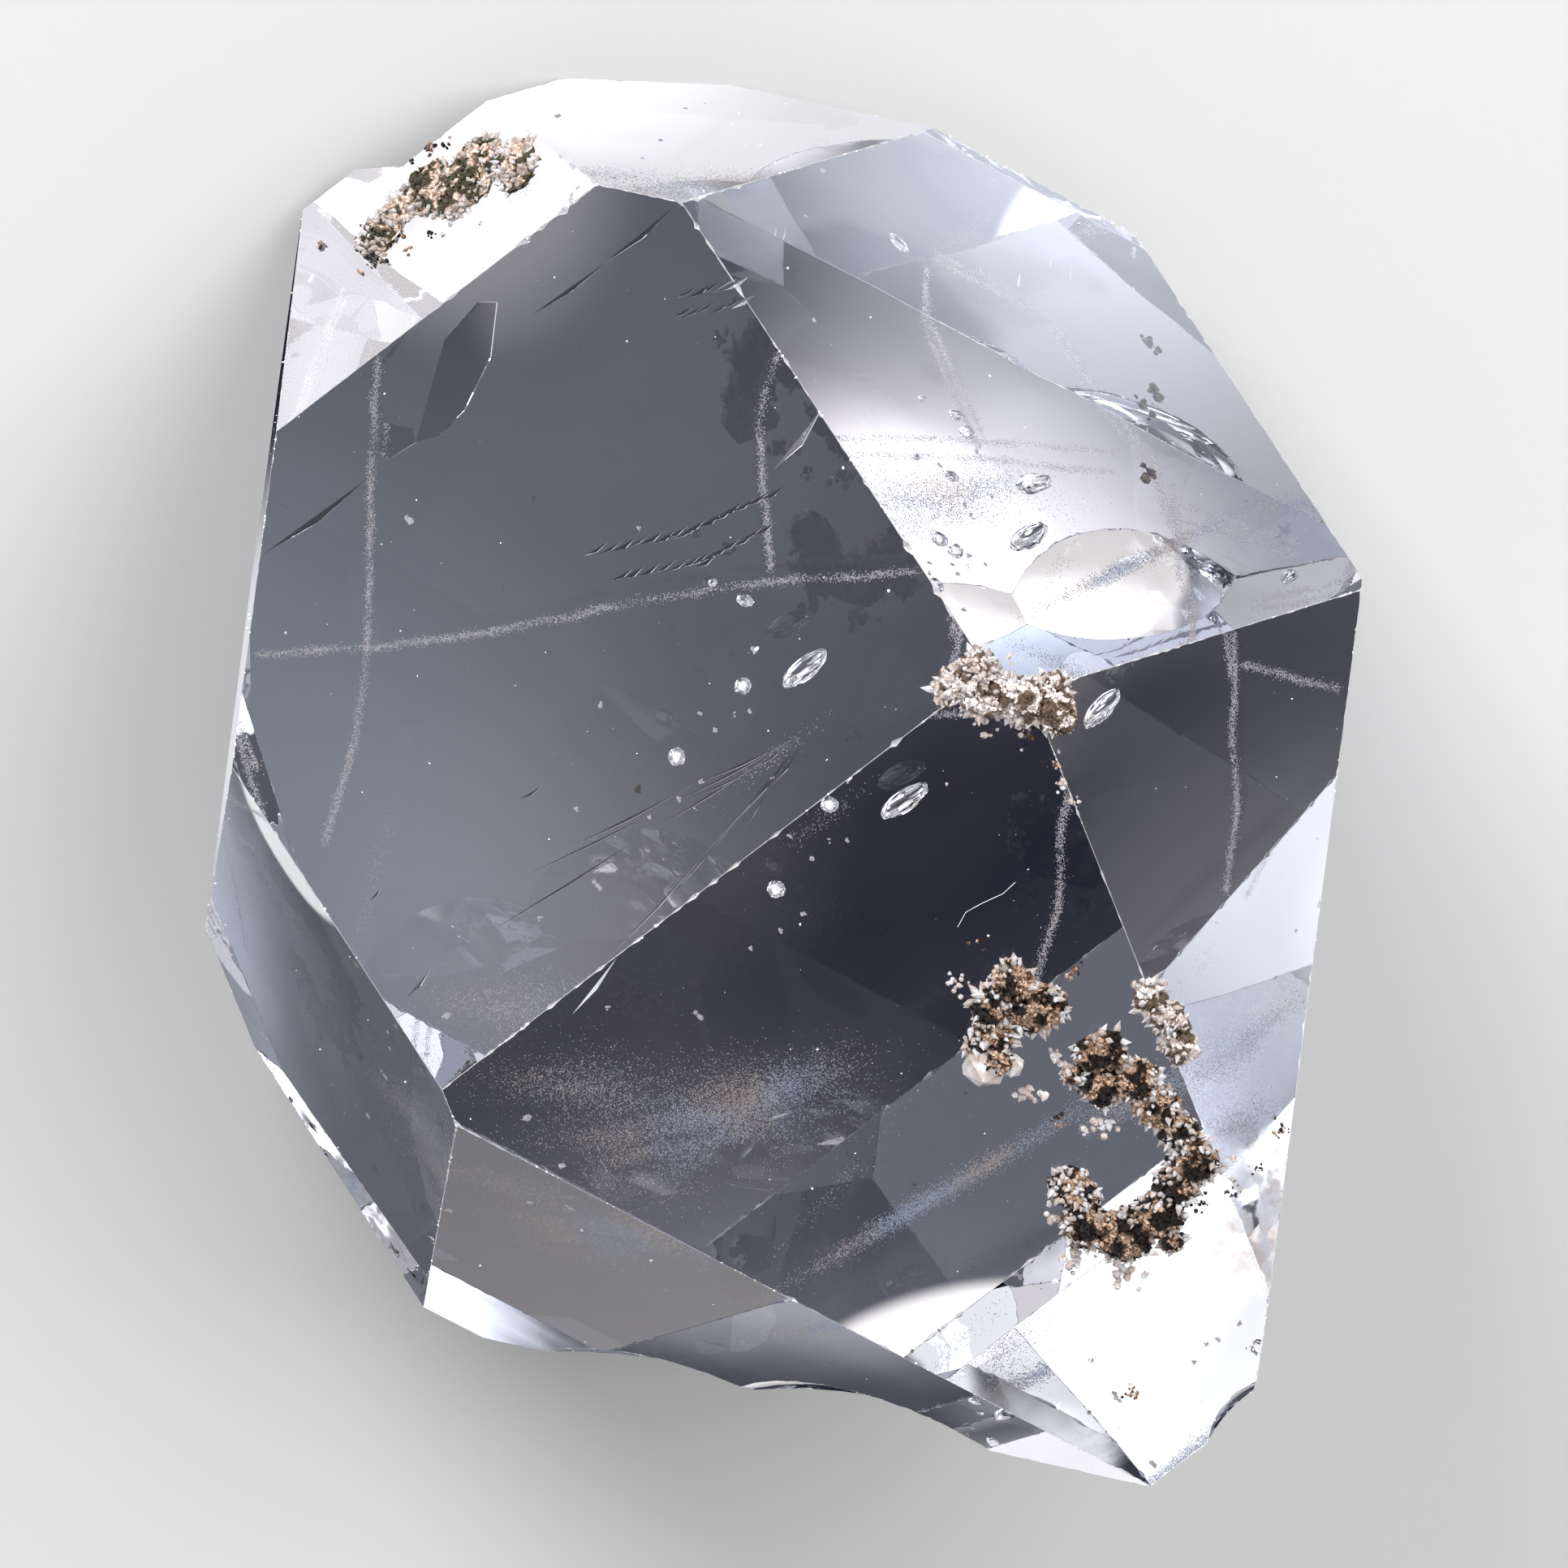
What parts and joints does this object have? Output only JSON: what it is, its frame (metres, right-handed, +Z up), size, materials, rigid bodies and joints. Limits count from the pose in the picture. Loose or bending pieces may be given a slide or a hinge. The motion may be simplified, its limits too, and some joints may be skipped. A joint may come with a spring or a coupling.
{
  "type": "herkimer diamond quartz crystal",
  "caption": "Clear doubly terminated quartz crystal with flat faces, sharp edges and small patches of brown mineral crust, lying on its largest face.",
  "frame": {"origin": "bottom centre of the bounding box, on the level face that the crystal lies on", "axes": "+Z up out of the resting face, +X along the longest horizontal extent, with the crystal's own axis in the XZ plane, rising towards -X"},
  "size_m": [0.0136, 0.012, 0.0072],
  "materials": {
    "clear_quartz": "clear natural crystal faces, glossy, with fine growth marks",
    "brown_crust": "rough brown mineral crust with small clear crystals in it"
  },
  "bodies": {
    "root": {"crystal": "clear_quartz", "ridge_crust": "brown_crust", "corner_crust": "brown_crust", "druse_crust": "brown_crust", "crescent_crust": "brown_crust", "edge_crust": "brown_crust"}
  },
  "joints": []
}
